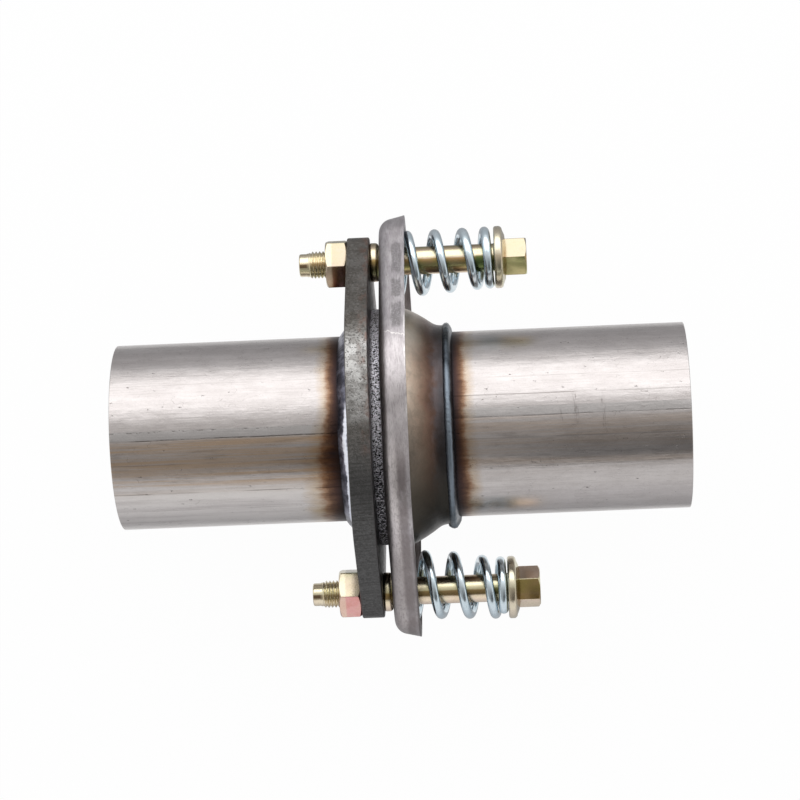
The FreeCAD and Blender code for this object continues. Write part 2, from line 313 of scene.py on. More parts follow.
light_the_world()
bpy.context.scene.view_settings.view_transform = "Standard"
print("room light", room_light)

# %% Hang the soft light
key_radiance = 1.32
key_size = (2.6, 1.06)
key_distance = 1.1
key_from_overhead = math.radians(53.5)


def hang_lamp():
    """A rectangular lamp that looks at the object."""
    lamp = bpy.data.lights.new("soft_key", "AREA")
    lamp.shape = "RECTANGLE"
    lamp.size, lamp.size_y = key_size
    lamp.energy = key_radiance * math.pi * key_size[0] * key_size[1]
    direction = Vector((0, math.sin(key_from_overhead), math.cos(key_from_overhead)))
    turn = direction.to_track_quat("Z", "Y").to_matrix().to_4x4()
    add_object("soft_key", lamp).matrix_world = Matrix.Translation(direction * key_distance) @ turn
    print("key lamp looks along", [round(-value, 2) for value in direction])


hang_lamp()

# %% Hang the ceiling card
def reflected_card(name, low, high, height, glow_of):
    """A glowing sheet that only reflections see."""
    card = level_sheet(name, low, high, height)
    card.visible_camera = False
    card.visible_diffuse = False
    card.visible_shadow = False
    finish = new_metal(name + "_glow")
    x, y, _ = finish.parts(finish.node("TexCoord", output="Object"))
    glow = finish.node("Emission", inputs={"Color": glow_of(finish, x, y), "Strength": 1})
    finish.node("OutputMaterial", inputs={"Surface": glow})
    card.data.materials.append(finish.material)


card_half_length = 2.4
card_height = 1.3
card_far_y = math.tan(math.radians(24)) * card_height
card_near_y = -math.tan(math.radians(54)) * card_height


def tinted(greys, tint):
    """The stops of a ramp from (place, grey) and a tint."""
    return [(place, [grey * part for part in tint]) for place, grey in greys]


def ceiling_glow(finish, x, y):
    """Dim over the object and towards the near side, and darker over the outlet pipe."""
    share = (y - card_near_y) / (card_far_y - card_near_y)
    over_inlet = ((0, 0.6), (0.2, 0.44), (0.42, 0.46), (0.58, 0.5), (0.71, 0.6), (0.83, 0.76), (1, 1.1))
    over_outlet = ((0, 0.2), (0.15, 0.14), (0.4, 0.18), (0.56, 0.34), (0.69, 0.5), (0.83, 0.8), (1, 1.2))
    left = finish.ramp(share, tinted(over_inlet, (1, 0.985, 0.97)))
    right = finish.ramp(share, tinted(over_outlet, (1, 0.985, 0.975)))
    return finish.blend(x.rise(-0.14, 0.08), left, right)


low, high = (-card_half_length, card_near_y), (card_half_length, card_far_y)
reflected_card("ceiling_card", low, high, card_height, ceiling_glow)
print("ceiling card from y", round(card_near_y, 2), "to", round(card_far_y, 2))

# %% [markdown]
# A shiny tube on a white table loses its edges, because they mirror the table. So a photographer lays grey
# card on both sides, just out of the picture, and so does this scene.

# %% Lay the side cards
side_card_inner, side_card_outer = 0.065, 3
hand_width = 0.14
table_gap = 0.0005


def side_glow(near, middle, far):
    """Grey levels at the card's inner edge, a hand's width on, and a metre on."""

    def glow(finish, x, y):
        levels = ((0, near), (hand_width, middle), (1, far))
        return finish.ramp(abs(y) - side_card_inner, tinted(levels, (0.98, 0.98, 1)))

    return glow


for name, low_y, high_y, levels in (
    ("far_side_card", side_card_inner, side_card_outer, (0.44, 0.62, 0.78)),
    ("near_side_card", -side_card_outer, -side_card_inner, (0.46, 0.78, 0.92)),
):
    low, high = (-card_half_length, low_y), (card_half_length, high_y)
    reflected_card(name, low, high, floor_z + table_gap, side_glow(*levels))
print("side cards laid")

# %% [markdown]
# ## The camera
#
# The picture is taken from straight above with a long lens. The camera stands a little towards the outlet
# side, so the right-hand faces just show, and is turned a little, so the pipes rise to the right.

# %% Place the camera
picture_centre = Vector((0.0086, 0.0095, 0))
camera_distance = 1
focal_length, sensor_width = 125, 36
camera_yaw = math.radians(2.2)
camera_roll = math.radians(2.4)


def place_camera():
    lens = bpy.data.cameras.new("camera")
    lens.lens = focal_length
    lens.sensor_width = sensor_width
    camera = add_object("camera", lens)
    turn = Matrix.Rotation(camera_yaw, 4, "Y") @ Matrix.Rotation(-camera_roll, 4, "Z")
    back = Matrix.Translation((0, 0, camera_distance))
    camera.matrix_world = Matrix.Translation(picture_centre) @ turn @ back
    bpy.context.scene.camera = camera
    return camera


camera = place_camera()
print("camera at", [round(value, 3) for value in camera.matrix_world.translation])

# %% [markdown]
# ## Lathe work
#
# Pipes, bolts, beads and the gasket are round. Each starts as a line of points, given as the distance
# along the pipe and the radius, and bmesh's spin carries it round the axis. A full spin is closed with
# use_merge, doubles are merged, and the normals are worked out again, because a spin can leave a shape
# inside out.

# %% Make the lathe
merge_mm = 0.0005


def turned(outline, steps, closed=True):
    """Spins (x, radius) points about the X axis. closed joins the last point to the first."""
    bm = bmesh.new()
    points = [bm.verts.new((x, radius, 0)) for x, radius in outline]
    pairs = list(zip(points, points[1:]))
    if closed:
        pairs.append((points[-1], points[0]))
    line = points + [bm.edges.new(pair) for pair in pairs]
    full = 2 * math.pi
    bmesh.ops.spin(bm, geom=line, cent=(0, 0, 0), axis=(1, 0, 0), angle=full, steps=steps, use_merge=True)
    bmesh.ops.remove_doubles(bm, verts=bm.verts, dist=merge_mm)
    bmesh.ops.recalc_face_normals(bm, faces=bm.faces)
    return bm


def put(vert, x, factor):
    """Puts a point at x, at factor times its distance from the axis."""
    vert.co = Vector((x, vert.co.y * factor, vert.co.z * factor))


def soften_edges(bm, width, sharper_than=25):
    """Bevels the edges that turn by more than some degrees."""
    sharp = [edge for edge in bm.edges if edge.calc_face_angle(0) > math.radians(sharper_than)]
    settings = {"segments": 2, "profile": 0.5, "affect": "EDGES", "clamp_overlap": True, "material": -1}
    bmesh.ops.bevel(bm, geom=sharp, offset=width, **settings)


def rounded(x, radius, size, quarter, count=4):
    """Points that round a corner. quarter is the way from the circle's centre, as signs of x and radius."""
    along, up = quarter[0] * size, quarter[1] * size
    angles = [math.pi / 2 * k / count for k in range(count + 1)]
    return [(x - along + along * math.cos(a), radius - up + up * math.sin(a)) for a in angles]


# %% Hand a piece over
def object_from(bm, name, sharp_degrees=30):
    """Makes an object of a bmesh in millimetres, smooth but for its sharp edges."""
    bm.transform(Matrix.Scale(mm, 4))
    mesh = mesh_of(bm, name)
    mesh.shade_smooth()
    mesh.set_sharp_from_angle(angle=math.radians(sharp_degrees))
    return add_object(name, mesh)


def stand_for(piece, node, material):
    """The piece replaces a CAD node, rides on its body and takes its slot."""
    piece.data.materials.clear()
    piece.data.materials.append(material)
    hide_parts(node)
    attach(piece, body_of[node])
    print(piece.name, "stands for", node, "with", len(piece.data.polygons), "faces")

# %% [markdown]
# ## Stainless pipe
#
# The stubs are cut from welded stainless tube. Drawing leaves fine lines along it, the long seam was
# ground nearly flush and shows as a dull strip, and brown streaks lie beside it. Welding has tinted the
# metal in bands: straw furthest out, then orange and brown, and almost black against the bead. All of it
# is placed by the distance from the bead and the angle round the tube.

# %% Lay out the patterns of the pipes
def pipe_patterns(finish):
    """The places and noises that the layers of a pipe's finish share. Angles are degrees from the top."""
    tube = SimpleNamespace()
    tube.x, y, z = finish.parts(finish.place)
    tube.around = finish.maths("ARCTAN2", y, z) * math.degrees(1)
    radius = finish.maths("SQRT", y * y + z * z)
    tube.inside = 1 - radius.rise(pipe_radius - 0.6, pipe_radius - 0.3)
    tube.draw_lines = finish.noise(0.02, 2.4, 3, 0.6)
    tube.strokes = finish.noise(0.22, 2.6, 4, 0.7)
    tube.streaks = finish.noise(0.012, 0.32, 4, 0.6)
    tube.clouds = finish.noise(0.09, 0.16, 4, 0.6)
    tube.grain = finish.noise(1.9, 2.5, 2)
    return tube


# %% Colour the drawn steel
def drawn_steel(finish, tube, seam, coarse):
    """Bright tube, paler on the near side, with brown and sooty streaks beside the seam."""
    tone = (tube.streaks * 0.45 + tube.clouds * 0.55).rise(0.36, 0.64)
    steel = finish.blend(tone, (0.43, 0.4, 0.392), (0.5, 0.47, 0.462))

    paler = tube.around.rise(-28, -42) * tube.streaks.rise(0.25, 0.55)
    under = tube.around.rise(seam + 0.4, seam - 0.4) * tube.around.rise(seam - 36, seam - 20)
    beside = tube.around.rise(seam - 40, seam - 24) * tube.around.rise(seam + 1, seam - 2)
    brown = beside * finish.noise(0.008, 0.55, 4, 0.7).rise(0.36, 0.66)
    sooty = beside * finish.noise(0.06, 0.5, 4, 0.7).rise(0.52, 0.72)
    return steel.under(
        (tube.strokes.rise(0.5, 0.78) * 0.5, (0.27, 0.25, 0.24)),
        (tube.draw_lines.rise(0.52, 0.75) * 0.3, (0.3, 0.28, 0.265)),
        (tube.grain.rise(0.5, 0.72) * 0.22, (0.26, 0.245, 0.235)),
        (paler * (0.1 + 0.5 * coarse), (0.66, 0.63, 0.61)),
        (under * 0.22, (0.27, 0.25, 0.24)),
        (brown * (0.4 + 0.4 * coarse), (0.42, 0.3, 0.2)),
        (sooty * 0.4, (0.17, 0.15, 0.135)),
    )


# %% Draw the seam
def add_seam(finish, tube, steel, seam, coarse):
    """Gives the steel with its ground strip, the strip, and the dark lines at the strip's edges."""
    strip = tube.around.stripe(seam + 2.9, 2.4, 0.8)
    dashes = finish.noise(0.1, 0.4, 4, 0.75).rise(0.4, 0.56)
    drift = tube.around + finish.noise(0.03, 0, 3) * 1.2
    seam_line = drift.stripe(seam + 0.6, 0.2, 0.45) * (0.3 + 0.7 * dashes) * (0.6 + 0.4 * coarse)
    dots = finish.noise(0.45, 0.9, 3, 0.7).rise(0.5, 0.62)
    strip_edge = drift.stripe(seam + 5.6, 0.2, 0.6) * dots * coarse
    dark_lines = finish.maths("MAXIMUM", seam_line, strip_edge * 0.7)
    ground = (strip * (0.25 + 0.7 * tube.grain), (0.33, 0.32, 0.315))
    return steel.under(ground, (dark_lines * 0.75, (0.08, 0.07, 0.062))), strip, dark_lines


# %% Scratch the pipes
def add_scratches(finish, tube, steel, scratches, tool_marks):
    """scratches are (degrees, darkness), tool_marks (x, from, to degrees). Gives steel and nicks."""
    lines = 0
    for degrees, darkness in scratches:
        broken = finish.noise(0.05, 0.02 * abs(degrees) + 0.1, 3, up=0.3).rise(0.36, 0.6)
        drift = tube.around + finish.noise(0.015, 0) * 2.2
        lines = drift.stripe(degrees + 1.1, 0.12, 0.36) * broken * darkness + lines
    for mark_x, low, high in tool_marks:
        over = tube.around.rise(low - 2, low + 2) * tube.around.rise(high + 2, high - 2)
        slant = tube.x + tube.around * 0.03
        teeth = finish.noise(1, 1, 3, 0.7, at=finish.vector(slant * 2.2, tube.around * 0.11, 0))
        lines = slant.stripe(mark_x, 0.3, 0.9) * over * teeth.rise(0.48, 0.62) * 0.6 + lines
    hair = finish.noise(0.16, 0.3, 1).stripe(0.5, 0.002, 0.004)
    hair = hair * finish.noise(0.1, 0.13, 2).rise(0.56, 0.64)
    cut = finish.maths("MINIMUM", hair * 0.55 + lines, 1)
    nicks = finish.cells(0.16, 0.34).rise(0.13, 0.06) * tube.grain.rise(0.46, 0.6)
    return steel.under((cut, (0.1, 0.085, 0.075)), (nicks * 0.75, (0.1, 0.09, 0.085))), nicks


# %% Tint the pipes beside the welds
pipe_tint_reach = 7.8
pipe_tints = [
    (0, (0.06, 0.05, 0.055)),
    (0.16, (0.13, 0.08, 0.07)),
    (0.32, (0.26, 0.155, 0.105)),
    (0.44, (0.5, 0.33, 0.22)),
    (0.62, (0.88, 0.78, 0.65)),
    (1, (1, 1, 1)),
]


def add_heat(finish, tube, steel, toe_x, away, coarse):
    """Oxide colours that fade away from the bead. Gives the steel and how much of it was heated."""
    ragged = finish.noise(0.2, 0.42, 4, 0.65) * 3.4 - 1.7
    wobble = finish.noise(0.02, 0.08, 3) * 4.4 - 2.2
    wide = 1 + (0.15 + 0.6 * coarse) * tube.around.rise(12, -20)
    straight = (tube.x - toe_x) * away
    from_toe = straight / wide + (wobble + ragged) * straight.rise(0, 3)
    tint = finish.ramp(from_toe / pipe_tint_reach, pipe_tints)
    return finish.blend(1, steel, tint, "MULTIPLY"), from_toe.rise(4.6, 0)


# %% Make the finish of the pipes
def pipe_finish(name, toe_x, away, seam, coarse, scratches, tool_marks):
    """toe_x is the bead's edge and away the direction along X from it. seam is in degrees from the top.
    coarse is 1 where the seam and the tint beside the bead are rough, and 0 where they are fine."""
    finish = new_metal(name)
    tube = pipe_patterns(finish)
    steel = drawn_steel(finish, tube, seam, coarse)
    steel, strip, dark_lines = add_seam(finish, tube, steel, seam, coarse)
    steel, nicks = add_scratches(finish, tube, steel, scratches, tool_marks)
    steel, heated = add_heat(finish, tube, steel, toe_x, away, coarse)

    steel = steel.under((tube.inside * 0.5, (0.2, 0.18, 0.17)))
    roughness = 0.2 + tube.strokes * 0.14 + strip * 0.1 + heated * 0.14
    roughness = roughness + tube.inside * 0.25 + tube.clouds * 0.05
    scored = 1 - finish.maths("MAXIMUM", nicks, dark_lines)
    layers = ((tube.strokes, 0.02), (tube.streaks, 0.09), (tube.clouds, 0.16), (scored, 0.04))
    return finish.metal(steel, roughness, *layers)


inlet_weld_leg = 4.1
inlet_toe_x = plate_back_x - inlet_weld_leg
outlet_toe_x = 28.5
inlet_steel = pipe_finish(
    "inlet_pipe_steel",
    inlet_toe_x,
    -1,
    seam=-2,
    coarse=1,
    scratches=[(-37, 0.8), (-17, 0.35), (-52, 0.3), (33, 0.2)],
    tool_marks=[],
)
outlet_steel = pipe_finish(
    "outlet_pipe_steel",
    outlet_toe_x,
    1,
    seam=4,
    coarse=0,
    scratches=[(17.5, 0.55), (-70, 0.5), (-9, 0.3), (29, 0.25)],
    tool_marks=[(71, -2, 17), (80.6, -4, 16), (66, 0, 8)],
)

# %% [markdown]
# ## The stub pipes
#
# A pipe could be a cylinder with the Solidify modifier. Spinning its wall is as short and rounds the rims
# too: the outline goes along the outside, round the rim, back through the bore and round the other rim.

# %% Turn the stub pipes
pipe_rim = 0.3
pipe_steps = 192


def pipe_outline(start_x, end_x):
    bore = pipe_radius - pipe_wall
    outline = rounded(start_x, bore, pipe_rim, (-1, -1))
    outline += rounded(start_x, pipe_radius, pipe_rim, (-1, 1))
    outline += reversed(rounded(end_x, pipe_radius, pipe_rim, (1, 1)))
    outline += reversed(rounded(end_x, bore, pipe_rim, (1, -1)))
    return outline


for node, low, high, steel in (
    ("inlet_pipe", inlet_low, inlet_high, inlet_steel),
    ("outlet_pipe", outlet_low, outlet_high, outlet_steel),
):
    tube = object_from(turned(pipe_outline(low.x, high.x), pipe_steps), node + "_tube")
    stand_for(tube, node, steel)

# %% [markdown]
# ## Plate and pressed sheet
#
# The flat flange is cut from hot-rolled plate. Its faces keep a dark scale, and its edge the fine lines
# that the cutting jet leaves through the thickness. Its edge has a painted highlight on the far half, and
# the plate has painted shade on its near half. The pan is pressed from thinner sheet: a mauve grey with
# darker patches, where handling has left prints. Its rim is darker towards its near end, with a painted
# highlight along its edge on the far half and painted shade on the near one. Its hub turns from straw to
# brown and black towards the neck, where the weld heated it, with painted shade on its near half and painted
# light on its far side.

# %% Make the finish of the flat flange
def plate_finish():
    finish = new_metal("hot_rolled_plate")
    x, y, z = finish.parts(finish.place)
    facing_x = abs(finish.parts(finish.node("TexCoord", output="Normal"))[0])
    edge = facing_x.rise(0.75, 0.45)

    drag = x * x * 0.012
    cut_lines = finish.noise(1, 1, 3, 0.6, at=finish.vector(x * 0.05, y * 1.15 + z * 0.9 + drag, 0))
    patches = finish.noise(0.12, 0.12, 4, 0.6)
    scale = finish.noise(1.1, 1.1, 4, 0.7)
    specks = finish.noise(2.4, 2.4, 2, 0.6)

    steel = finish.blend(patches.rise(0.35, 0.65), (0.095, 0.086, 0.076), (0.145, 0.137, 0.127))
    # Painted shade: the plate is darkened on its near half, and its cut lines are drawn stronger there.
    shaded_half = y.rise(8, -20)
    lined = edge * (0.25 + shaded_half * 0.75)
    # Painted highlight: a pale patch, broken up by noise, on the far half of the edge, where it faces the
    # lamp.
    highlight_patches = finish.noise(0.22, 0.22, 4, 0.7).rise(0.42, 0.62)
    painted_edge_highlight = edge * y.rise(0, 7) * y.rise(37, 28) * z.rise(20, 34)
    pits = (scale + specks).rise(0.92, 0.8)
    rust = finish.noise(0.3, 0.18, 4, 0.7).rise(0.45, 0.65)

    steel = steel.under(
        (shaded_half * 0.8, (0.08, 0.081, 0.083)),
        (lined * cut_lines.rise(0.45, 0.58) * 0.5, (0.045, 0.044, 0.042)),
        (painted_edge_highlight * (0.35 + highlight_patches * 0.6), (0.42, 0.415, 0.405)),
        (scale.rise(0.5, 0.68) * (0.4 - shaded_half * 0.2), (0.27, 0.26, 0.25)),
        (pits * 0.7, (0.045, 0.042, 0.038)),
        (rust * x.rise(-4.5, -1) * (1 - shaded_half) * 0.6, (0.17, 0.095, 0.072)),
    )
    roughness = 0.3 + 0.16 * scale
    return finish.metal(steel, roughness, (lined * cut_lines, 0.1), (scale, 0.16), (1 - pits, 0.06))


plate_steel = plate_finish()

# %% Lay out the patterns of the flared flange
def sheet_patterns(finish):
    """The places and noises that the layers of the pan's finish share."""
    sheet = SimpleNamespace()
    sheet.x, sheet.y, z = finish.parts(finish.place)
    radius = finish.maths("SQRT", sheet.y * sheet.y + z * z)
    sheet.on_rim = radius.rise(46, 49)
    sheet.on_hub = radius.rise(47, 45) * sheet.x.rise(6, 8)
    sheet.near_half = sheet.y.rise(0, -14)
    sheet.top_side = z.rise(5, 20)
    sheet.grain = finish.noise(0.5, 0.14, 4, 0.6)
    sheet.clouds = finish.noise(0.14, 0.1, 4, 0.6)
    sheet.fine = finish.noise(1.6, 1.6, 3, 0.65)
    return sheet


# %% Colour the pressed sheet
def pressed_rim(finish, sheet):
    """Mauve sheet, with a dark band and a pale flank along the near half of the rim."""
    steel = finish.blend(sheet.grain.rise(0.34, 0.66), (0.35, 0.325, 0.34), (0.46, 0.435, 0.447))
    paler = sheet.y.rise(38, 28) * sheet.y.rise(-22, -6)
    near_rim = sheet.on_rim * sheet.near_half
    band = sheet.x.stripe(9.6, 1.2, 1.4) * near_rim * sheet.clouds.rise(0.2, 0.5)
    flank = sheet.x.stripe(6.2, 1.4, 1.6) * near_rim
    return steel.under(
        (paler * 0.3, (0.6, 0.55, 0.545)),
        (sheet.clouds.rise(0.45, 0.65) * 0.25, (0.23, 0.215, 0.215)),
        (band * 0.66, (0.17, 0.14, 0.137)),
        (flank * 0.7, (0.66, 0.61, 0.605)),
    )


# %% Wear the rim
def rim_wear_and_light(finish, sheet, steel):
    """Prints and a painted highlight on the edge of the far half; darkening, pits and painted shade on the
    near half; and scuffs.
    """
    along = sheet.y + sheet.grain * 5 - 2.5
    prints = finish.maths("MAXIMUM", along.stripe(59.5, 4.6, 1.6), along.stripe(49, 2.4, 0.9))
    prints = finish.maths("MAXIMUM", prints, along.stripe(39, 3.4, 1.6))
    prints = prints * (sheet.x + sheet.clouds * 2).stripe(11, 1.3, 0.7) * sheet.on_rim * sheet.top_side
    # Painted highlight: a pale line along the rim's edge on the far half, towards the lamp.
    bright = sheet.x.rise(12.2, 12.7) * sheet.on_rim * sheet.grain.rise(0.4, 0.6)
    bright = bright * sheet.y.rise(-6, 2) * sheet.y.rise(44, 36)
    # The rim is darker, in cloudy patches, towards its near end.
    near_end_darkening = sheet.y.rise(-34, -50) * sheet.on_rim
    pits = finish.noise(1.1, 0.7, 4, 0.75).rise(0.5, 0.66)
    # Painted shade: a dark line along the rim's edge at its near end.
    shade = sheet.x.rise(11.9, 12.9) * sheet.on_rim * sheet.y.rise(-32, -44)
    scratch = (sheet.y + (sheet.x - 8) * 0.2 + sheet.grain * 3).stripe(34.3, 0.06, 0.22)
    scratch = scratch * sheet.x.rise(4.5, 7) * sheet.on_rim * sheet.top_side
    scuffs = finish.noise(2.4, 0.4, 4, 0.7)
    return steel.under(
        (prints * sheet.fine.rise(0.2, 0.6) * 0.62, (0.12, 0.115, 0.115)),
        (bright * 0.7, (0.75, 0.73, 0.72)),
        (near_end_darkening * (0.1 + 0.8 * sheet.clouds), (0.2, 0.175, 0.17)),
        (pits * sheet.on_rim * sheet.near_half * 0.45, (0.17, 0.145, 0.145)),
        (shade * 0.8, (0.07, 0.06, 0.058)),
        (scratch * 0.5, (0.85, 0.83, 0.8)),
        (scuffs.rise(0.46, 0.68) * 0.5, (0.2, 0.185, 0.182)),
    )


# %% Tint the hub
hub_tint_start_x, hub_tint_reach = 6, 19
hub_tints = [
    (0, (0.76, 0.73, 0.69)),
    (0.3, (0.62, 0.56, 0.48)),
    (0.5, (0.44, 0.36, 0.29)),
    (0.64, (0.31, 0.22, 0.17)),
    (0.74, (0.22, 0.14, 0.11)),
    (0.86, (0.14, 0.12, 0.125)),
    (1, (0.09, 0.09, 0.1)),
]


def hub_heat_and_light(finish, sheet):
    """Bands of heat up to the neck, with painted shade on the near half and painted light on the far side by
    the pan.
    """
    mottle = finish.noise(0.45, 0.3, 4, 0.7)
    wobble = finish.noise(0.1, 0.1, 3) * 5 + mottle * 5 - 5
    heat = finish.ramp((sheet.x + wobble - hub_tint_start_x) / hub_tint_reach, hub_tints)
    bright = finish.blend(mottle.rise(0.35, 0.65), (0.46, 0.43, 0.41), (0.66, 0.62, 0.6))
    steel = finish.blend(1, bright, heat, "MULTIPLY")
    # Painted shade: the hub darkens on its near half.
    hub_near_shade = sheet.y.rise(5, -28) * (0.8 + mottle * 0.2)
    # Painted light: the hub is paler on its far side, next to the pan.
    hub_far_light = sheet.y.rise(18, 34) * sheet.x.rise(20, 14)
    return steel.under((hub_near_shade, (0.025, 0.023, 0.018)), (hub_far_light * 0.35, (0.8, 0.73, 0.64)))


# %% Make the finish of the flared flange
def pressed_finish():
    finish = new_metal("pressed_sheet")
    sheet = sheet_patterns(finish)
    rim = rim_wear_and_light(finish, sheet, pressed_rim(finish, sheet))
    steel = finish.blend(sheet.on_hub, rim, hub_heat_and_light(finish, sheet))
    roughness = 0.3 + sheet.fine * 0.16
    return finish.metal(steel, roughness, (sheet.fine, 0.05), (sheet.grain, 0.05), (sheet.clouds, 0.16))


pressed_steel = pressed_finish()

# %% [markdown]
# ## The flanges
#
# The flanges have exactly the outline and section that the CAD gives them, so a copy of the CAD mesh is
# the best start. Its loose triangles are merged and shaded smooth, and Weighted Normal lets the large flat
# faces set the shading at the bends.

# %% Dress the flanges
def merged_copy(node, name):
    """A copy of a CAD node as one smooth skin."""
    bm = bmesh.new()
    bm.from_mesh(frame["nodes"][node].data)
    bmesh.ops.remove_doubles(bm, verts=bm.verts, dist=1e-6)
    bmesh.ops.scale(bm, verts=bm.verts, vec=(1 / mm, 1 / mm, 1 / mm))
    piece = object_from(bm, name)
    weighting = piece.modifiers.new("weighting", "WEIGHTED_NORMAL")
    weighting.keep_sharp = True
    return piece


stand_for(merged_copy("flat_flange", "cut_plate"), "flat_flange", plate_steel)
stand_for(merged_copy("flared_flange", "pressed_pan"), "flared_flange", pressed_steel)

# %% [markdown]
# ## Weld beads
#
# A bead is a ring of metal laid down a drop at a time. Its ripples are small crescents, its width wanders,
# and where the last drop met the first there is a lump. The ring is spun with many steps, and every point
# moves in or out from the root of the weld by a little noise and a ripple along the seam. A strip along the
# bead is a painted highlight.

# %% Make the finish of the beads
def weld_finish(name, dark, pale, glint, glint_side):
    """glint is (radius, colour) of a painted highlight along the bead, and glint_side the y where it starts.
    """
    finish = new_metal(name)
    _, y, z = finish.parts(finish.place)
    radius = finish.maths("SQRT", y * y + z * z)
    oxide = finish.noise(0.16, 0.16, 4, 0.6)
    fine = finish.noise(2.2, 2.2, 3, 0.6)
    steel = finish.blend(oxide.rise(0.38, 0.62), dark, pale)
    soot = fine.rise(0.55, 0.72)
    # Painted highlight: a pale strip along the bead, white on the inlet's and dim blue on the outlet's.
    strip = (radius + oxide * 1.6).stripe(glint[0] + 0.8, 0.35, 0.45)
    strip = strip * y.rise(glint_side + 3, glint_side - 3) * z.rise(-4, 4)
    steel = steel.under((soot * 0.75, (0.04, 0.038, 0.045)), (strip, glint[1]))
    roughness = 0.22 + 0.2 * fine + strip * 0.1
    return finish.metal(steel, roughness, (fine, 0.05))


inlet_bead_metal = weld_finish(
    "inlet_bead", (0.06, 0.06, 0.08), (0.26, 0.26, 0.32), glint=(36.3, (0.9, 0.92, 1)), glint_side=8
)
outlet_bead_metal = weld_finish(
    "outlet_bead", (0.042, 0.05, 0.06), (0.11, 0.128, 0.15), glint=(36.5, (0.17, 0.2, 0.235)), glint_side=20
)

# %% Lay the beads
bead_steps = 720
sunken_share = 0.25
lump_degrees_wide = 5


def lay_bead(name, outline, root, ripple, wander, lump, seed):
    """Spins a bead's outline and ripples it. root is the (x, radius) that the metal grows from, ripple is
    (length, depth), wander the change of width, and lump (degrees, height) of the last drop."""
    bm = turned(outline, bead_steps)
    reach = max(math.dist(point, root) for point in outline)
    for vert in bm.verts:
        radius = math.hypot(vert.co.y, vert.co.z)
        turn = math.atan2(vert.co.z, vert.co.y)
        grown = Vector((vert.co.x - root[0], radius - root[1]))
        share = grown.length / reach
        if share < sunken_share:
            continue
        ahead = turn * root[1]
        crescent = 0.9 * math.cos(math.atan2(grown.y, -grown.x) * 2)
        spot = Vector((ahead * 0.35, seed, 0))
        phase = (ahead + crescent) / ripple[0] + noise.noise(spot) * 1.4
        crest = 1 - abs(math.sin(math.pi * phase))
        drift = noise.noise(Vector((ahead * 0.08, seed + 5, 0)))
        fine = noise.noise(Vector((ahead * 0.9, vert.co.x * 0.9, seed + radius)))
        apart = (math.degrees(turn) - lump[0] + 180) % 360 - 180
        bulge = lump[1] * math.exp(-((apart / lump_degrees_wide) ** 2))
        height = wander * drift + 0.12 * fine - ripple[1] * crest ** 3 + bulge
        moved = grown.normalized() * height
        put(vert, vert.co.x + moved.x, (radius + moved.y) / radius)
    bmesh.ops.recalc_face_normals(bm, faces=bm.faces)
    return object_from(bm, name, sharp_degrees=60)


def fillet_outline():
    """The bead in the corner of the inlet pipe and the plate, a little convex, with its root inside both."""
    root = (plate_back_x + 0.2, pipe_radius - 0.2)
    outline = [root]
    for k in range(9):
        angle = math.pi / 2 * k / 8
        flat = 1 / (math.cos(angle) + math.sin(angle))
        reach = inlet_weld_leg * (0.72 * flat + 0.28)
        outline.append((plate_back_x - reach * math.cos(angle), pipe_radius + reach * math.sin(angle)))
    return outline, root


def crown_outline():
    """The round bead over the end of the neck."""
    neck_radius, peak_radius = 35.8, 36.6
    root = (26.3, 34)
    outline = [(24.9, neck_radius - 0.3), (25.1, neck_radius + 0.15), (25.7, peak_radius - 0.15)]
    outline += [(26.4, peak_radius), (27.1, peak_radius - 0.3), (27.7, 35.4), (28.1, 34.5)]
    return outline + [(28.4, pipe_radius), root], root


inlet_bead = lay_bead("inlet_weld_bead", *fillet_outline(), (1.5, 0.12), 0.5, (205, 0.3), seed=3)
stand_for(inlet_bead, "inlet_weld", inlet_bead_metal)
outlet_bead = lay_bead("outlet_weld_bead", *crown_outline(), (1.1, 0.08), 0.25, (176, 0.9), seed=11)
stand_for(outlet_bead, "outlet_weld", outlet_bead_metal)

# %% [markdown]
# ## The ring gasket
#
# The gasket is knitted wire and graphite pressed into a ring. Only a narrow band of it shows between the
# flanges, as bright and dark specks. The ring is turned with the ball face, noise roughens its surface,
# and a hard step in coarse noise makes the specks.

# %% Make the finish of the gasket
def gasket_finish():
    finish = new_metal("pressed_wire_mesh")
    speckle = finish.noise(1.5, 2, 2, 0.8)
    # Painted shade: towards the near side the wire is darker and the dark specks grow.
    darker = finish.parts(finish.place)[1].rise(4, -24)
    gaps = (speckle + darker * 0.06).rise(0.51, 0.58)
    wire = finish.blend(darker * 0.5, (0.95, 0.93, 1), (0.6, 0.58, 0.62))
    base = finish.blend(gaps, wire, (0.02, 0.018, 0.022))
    roughness = 0.45 + gaps * 0.3
    return finish.metal(base, roughness, (1 - gaps, 0.4), metallic=0.55)


gasket_mesh = gasket_finish()

# %% Turn the gasket
ball_centre_x, ball_radius = -7.3, 43.75
gasket_bore, gasket_radius, gasket_length = 33.3, 42.5, 16.5
gasket_steps, dent_depth = 360, 0.09


def turn_gasket():
    ball_start = ball_centre_x + math.sqrt(ball_radius ** 2 - gasket_radius ** 2)
    face = [ball_start + (gasket_length - ball_start) * k / 14 for k in range(15)]
    outline = [(0, gasket_bore), (0, gasket_radius - 0.4), (0.4, gasket_radius)]
    outline += [(0.4 + (ball_start - 0.4) * k / 6, gasket_radius) for k in range(1, 6)]
    outline += [(x, math.sqrt(ball_radius ** 2 - (x - ball_centre_x) ** 2)) for x in face]
    bm = turned(outline + [(gasket_length, gasket_bore)], gasket_steps)
    for vert in bm.verts:
        radius = math.hypot(vert.co.y, vert.co.z)
        if radius > gasket_bore + 1 and vert.co.x > 0.2:
            dent = dent_depth * (1 + noise.noise(vert.co * 0.9))
            put(vert, vert.co.x, (radius - dent) / radius)
    return object_from(bm, "pressed_ring", sharp_degrees=50)


stand_for(turn_gasket(), "ring_gasket", gasket_mesh)

